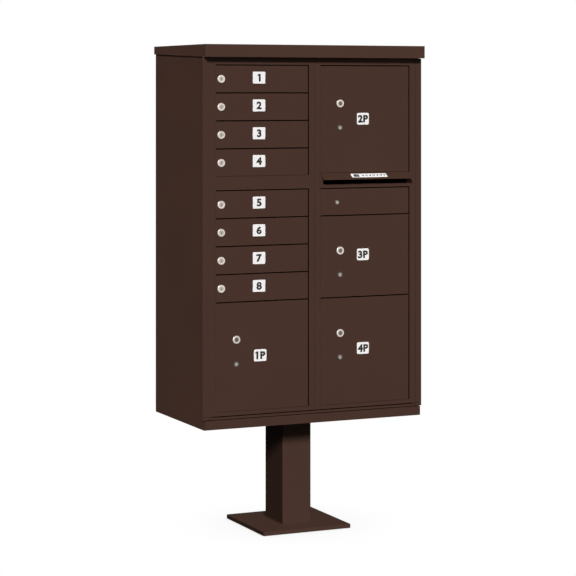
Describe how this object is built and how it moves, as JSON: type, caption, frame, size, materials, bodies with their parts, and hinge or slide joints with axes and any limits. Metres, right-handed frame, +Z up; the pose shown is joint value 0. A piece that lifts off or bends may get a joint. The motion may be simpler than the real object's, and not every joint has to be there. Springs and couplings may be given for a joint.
{
  "type": "cluster mailbox unit",
  "caption": "Free-standing cluster mailbox: sheet-metal cabinet on a pedestal, with master doors, lockable tenant and parcel doors, and a hooded outgoing mail slot.",
  "frame": {"origin": "centre of the unit's footprint (its bounding box seen from above) at the underside of the base plate", "axes": "+Z up; the doors face -Y; +X is to the right for a person facing the doors"},
  "size_m": [0.7746, 0.4572, 1.5748],
  "materials": {
    "cabinet_powder_coat": "satin bronze powder coat",
    "door_powder_coat": "satin bronze powder coat",
    "pedestal_powder_coat": "satin bronze powder coat",
    "inner_sheet": "mill finish",
    "lock_chrome": "polished",
    "lock_dark": "dull",
    "plug_metal": "brushed",
    "zinc_steel": "zinc plated"
  },
  "bodies": {
    "cabinet": {"base_plate": "pedestal_powder_coat", "pedestal_post": "pedestal_powder_coat", "pedestal_top_plate": "pedestal_powder_coat", "pedestal_bolts": "zinc_steel", "cabinet_shell": "cabinet_powder_coat", "floor_pan": "cabinet_powder_coat", "roof_hood": "cabinet_powder_coat", "centre_partition": "inner_sheet", "compartment_shelves": "inner_sheet", "fixed_hinge_leaves": "cabinet_powder_coat", "master_hinge_pins": "zinc_steel"},
    "left_master": {"left_master_door": "door_powder_coat", "left_hinge_rods": "zinc_steel"},
    "right_master": {"right_master_door": "door_powder_coat", "right_hinge_rods": "zinc_steel", "mail_slot_hood": "door_powder_coat"},
    "latch_bar": {"master_latch": "zinc_steel"},
    "tenant_1": {"tenant_door_1": "door_powder_coat", "tenant_lock_1": "lock_chrome"},
    "tenant_1_cam": {"tenant_plug_1": "plug_metal"},
    "tenant_2": {"tenant_door_2": "door_powder_coat", "tenant_lock_2": "lock_chrome"},
    "tenant_2_cam": {"tenant_plug_2": "plug_metal"},
    "tenant_3": {"tenant_door_3": "door_powder_coat", "tenant_lock_3": "lock_chrome"},
    "tenant_3_cam": {"tenant_plug_3": "plug_metal"},
    "tenant_4": {"tenant_door_4": "door_powder_coat", "tenant_lock_4": "lock_chrome"},
    "tenant_4_cam": {"tenant_plug_4": "plug_metal"},
    "tenant_5": {"tenant_door_5": "door_powder_coat", "tenant_lock_5": "lock_chrome"},
    "tenant_5_cam": {"tenant_plug_5": "plug_metal"},
    "tenant_6": {"tenant_door_6": "door_powder_coat", "tenant_lock_6": "lock_chrome"},
    "tenant_6_cam": {"tenant_plug_6": "plug_metal"},
    "tenant_7": {"tenant_door_7": "door_powder_coat", "tenant_lock_7": "lock_chrome"},
    "tenant_7_cam": {"tenant_plug_7": "plug_metal"},
    "tenant_8": {"tenant_door_8": "door_powder_coat", "tenant_lock_8": "lock_chrome"},
    "tenant_8_cam": {"tenant_plug_8": "plug_metal"},
    "parcel_1P": {"parcel_door_1P": "door_powder_coat", "parcel_locks_1P": "lock_chrome"},
    "parcel_1P_customer_cam": {"customer_plug_1P": "plug_metal"},
    "parcel_1P_carrier_cam": {"carrier_plug_1P": "plug_metal"},
    "parcel_2P": {"parcel_door_2P": "door_powder_coat", "parcel_locks_2P": "lock_chrome"},
    "parcel_2P_customer_cam": {"customer_plug_2P": "plug_metal"},
    "parcel_2P_carrier_cam": {"carrier_plug_2P": "plug_metal"},
    "access": {"access_door": "door_powder_coat", "access_lock": "lock_dark"},
    "access_cam": {"access_plug": "plug_metal"},
    "parcel_3P": {"parcel_door_3P": "door_powder_coat", "parcel_locks_3P": "lock_chrome"},
    "parcel_3P_customer_cam": {"customer_plug_3P": "plug_metal"},
    "parcel_3P_carrier_cam": {"carrier_plug_3P": "plug_metal"},
    "parcel_4P": {"parcel_door_4P": "door_powder_coat", "parcel_locks_4P": "lock_chrome"},
    "parcel_4P_customer_cam": {"customer_plug_4P": "plug_metal"},
    "parcel_4P_carrier_cam": {"carrier_plug_4P": "plug_metal"}
  },
  "joints": [
    {"name": "left_master_hinge", "type": "hinge", "parent": "cabinet", "child": "left_master", "pos_m": [-0.3826, -0.19845, 0.96], "axis": [0, 0, -1], "range_deg": [0, 110]},
    {"name": "right_master_hinge", "type": "hinge", "parent": "cabinet", "child": "right_master", "pos_m": [0.3826, -0.19845, 0.96], "axis": [0, 0, 1], "range_deg": [0, 110]},
    {"name": "master_latch_slide", "type": "slide", "parent": "right_master", "child": "latch_bar", "axis": [-1, 0, 0], "range_m": [0, 0.016]},
    {"name": "tenant_1_hinge", "type": "hinge", "parent": "left_master", "child": "tenant_1", "pos_m": [-0.024, -0.2006, 1.4655], "axis": [0, 0, 1], "range_deg": [0, 100]},
    {"name": "tenant_1_lock_turn", "type": "hinge", "parent": "tenant_1", "child": "tenant_1_cam", "pos_m": [-0.3247, -0.1942, 1.4655], "axis": [0, 1, 0], "range_deg": [0, 90]},
    {"name": "tenant_2_hinge", "type": "hinge", "parent": "left_master", "child": "tenant_2", "pos_m": [-0.024, -0.2006, 1.3773], "axis": [0, 0, 1], "range_deg": [0, 100]},
    {"name": "tenant_2_lock_turn", "type": "hinge", "parent": "tenant_2", "child": "tenant_2_cam", "pos_m": [-0.3247, -0.1942, 1.3773], "axis": [0, 1, 0], "range_deg": [0, 90]},
    {"name": "tenant_3_hinge", "type": "hinge", "parent": "left_master", "child": "tenant_3", "pos_m": [-0.024, -0.2006, 1.2891], "axis": [0, 0, 1], "range_deg": [0, 100]},
    {"name": "tenant_3_lock_turn", "type": "hinge", "parent": "tenant_3", "child": "tenant_3_cam", "pos_m": [-0.3247, -0.1942, 1.2891], "axis": [0, 1, 0], "range_deg": [0, 90]},
    {"name": "tenant_4_hinge", "type": "hinge", "parent": "left_master", "child": "tenant_4", "pos_m": [-0.024, -0.2006, 1.2009], "axis": [0, 0, 1], "range_deg": [0, 100]},
    {"name": "tenant_4_lock_turn", "type": "hinge", "parent": "tenant_4", "child": "tenant_4_cam", "pos_m": [-0.3247, -0.1942, 1.2009], "axis": [0, 1, 0], "range_deg": [0, 90]},
    {"name": "tenant_5_hinge", "type": "hinge", "parent": "left_master", "child": "tenant_5", "pos_m": [-0.024, -0.2006, 1.0693], "axis": [0, 0, 1], "range_deg": [0, 100]},
    {"name": "tenant_5_lock_turn", "type": "hinge", "parent": "tenant_5", "child": "tenant_5_cam", "pos_m": [-0.3247, -0.1942, 1.0693], "axis": [0, 1, 0], "range_deg": [0, 90]},
    {"name": "tenant_6_hinge", "type": "hinge", "parent": "left_master", "child": "tenant_6", "pos_m": [-0.024, -0.2006, 0.9811], "axis": [0, 0, 1], "range_deg": [0, 100]},
    {"name": "tenant_6_lock_turn", "type": "hinge", "parent": "tenant_6", "child": "tenant_6_cam", "pos_m": [-0.3247, -0.1942, 0.9811], "axis": [0, 1, 0], "range_deg": [0, 90]},
    {"name": "tenant_7_hinge", "type": "hinge", "parent": "left_master", "child": "tenant_7", "pos_m": [-0.024, -0.2006, 0.8929], "axis": [0, 0, 1], "range_deg": [0, 100]},
    {"name": "tenant_7_lock_turn", "type": "hinge", "parent": "tenant_7", "child": "tenant_7_cam", "pos_m": [-0.3247, -0.1942, 0.8929], "axis": [0, 1, 0], "range_deg": [0, 90]},
    {"name": "tenant_8_hinge", "type": "hinge", "parent": "left_master", "child": "tenant_8", "pos_m": [-0.024, -0.2006, 0.8047], "axis": [0, 0, 1], "range_deg": [0, 100]},
    {"name": "tenant_8_lock_turn", "type": "hinge", "parent": "tenant_8", "child": "tenant_8_cam", "pos_m": [-0.3247, -0.1942, 0.8047], "axis": [0, 1, 0], "range_deg": [0, 90]},
    {"name": "parcel_1P_hinge", "type": "hinge", "parent": "left_master", "child": "parcel_1P", "pos_m": [-0.024, -0.2006, 0.58795], "axis": [0, 0, 1], "range_deg": [0, 100]},
    {"name": "parcel_1P_customer_lock_turn", "type": "hinge", "parent": "parcel_1P", "child": "parcel_1P_customer_cam", "pos_m": [-0.2728, -0.1942, 0.642], "axis": [0, -1, 0], "range_deg": [0, 90]},
    {"name": "parcel_1P_carrier_lock_turn", "type": "hinge", "parent": "parcel_1P", "child": "parcel_1P_carrier_cam", "pos_m": [-0.2728, -0.1942, 0.5643], "axis": [0, 1, 0], "range_deg": [0, 90]},
    {"name": "parcel_2P_hinge", "type": "hinge", "parent": "right_master", "child": "parcel_2P", "pos_m": [0.3397, -0.2006, 1.33605], "axis": [0, 0, 1], "range_deg": [0, 100]},
    {"name": "parcel_2P_customer_lock_turn", "type": "hinge", "parent": "parcel_2P", "child": "parcel_2P_customer_cam", "pos_m": [0.0909, -0.1942, 1.3871], "axis": [0, -1, 0], "range_deg": [0, 90]},
    {"name": "parcel_2P_carrier_lock_turn", "type": "hinge", "parent": "parcel_2P", "child": "parcel_2P_carrier_cam", "pos_m": [0.0909, -0.1942, 1.3094], "axis": [0, 1, 0], "range_deg": [0, 90]},
    {"name": "access_door_hinge", "type": "hinge", "parent": "right_master", "child": "access", "pos_m": [0.3397, -0.2006, 1.0693], "axis": [0, 0, 1], "range_deg": [0, 100]},
    {"name": "access_lock_turn", "type": "hinge", "parent": "access", "child": "access_cam", "pos_m": [0.0801, -0.1942, 1.0679], "axis": [0, 1, 0], "range_deg": [0, 90]},
    {"name": "parcel_3P_hinge", "type": "hinge", "parent": "right_master", "child": "parcel_3P", "pos_m": [0.3397, -0.2006, 0.8929], "axis": [0, 0, 1], "range_deg": [0, 100]},
    {"name": "parcel_3P_customer_lock_turn", "type": "hinge", "parent": "parcel_3P", "child": "parcel_3P_customer_cam", "pos_m": [0.0909, -0.1942, 0.9119], "axis": [0, -1, 0], "range_deg": [0, 90]},
    {"name": "parcel_3P_carrier_lock_turn", "type": "hinge", "parent": "parcel_3P", "child": "parcel_3P_carrier_cam", "pos_m": [0.0909, -0.1942, 0.8342], "axis": [0, 1, 0], "range_deg": [0, 90]},
    {"name": "parcel_4P_hinge", "type": "hinge", "parent": "right_master", "child": "parcel_4P", "pos_m": [0.3397, -0.2006, 0.58795], "axis": [0, 0, 1], "range_deg": [0, 100]},
    {"name": "parcel_4P_customer_lock_turn", "type": "hinge", "parent": "parcel_4P", "child": "parcel_4P_customer_cam", "pos_m": [0.0909, -0.1942, 0.6455], "axis": [0, -1, 0], "range_deg": [0, 90]},
    {"name": "parcel_4P_carrier_lock_turn", "type": "hinge", "parent": "parcel_4P", "child": "parcel_4P_carrier_cam", "pos_m": [0.0909, -0.1942, 0.5678], "axis": [0, 1, 0], "range_deg": [0, 90]}
  ]
}
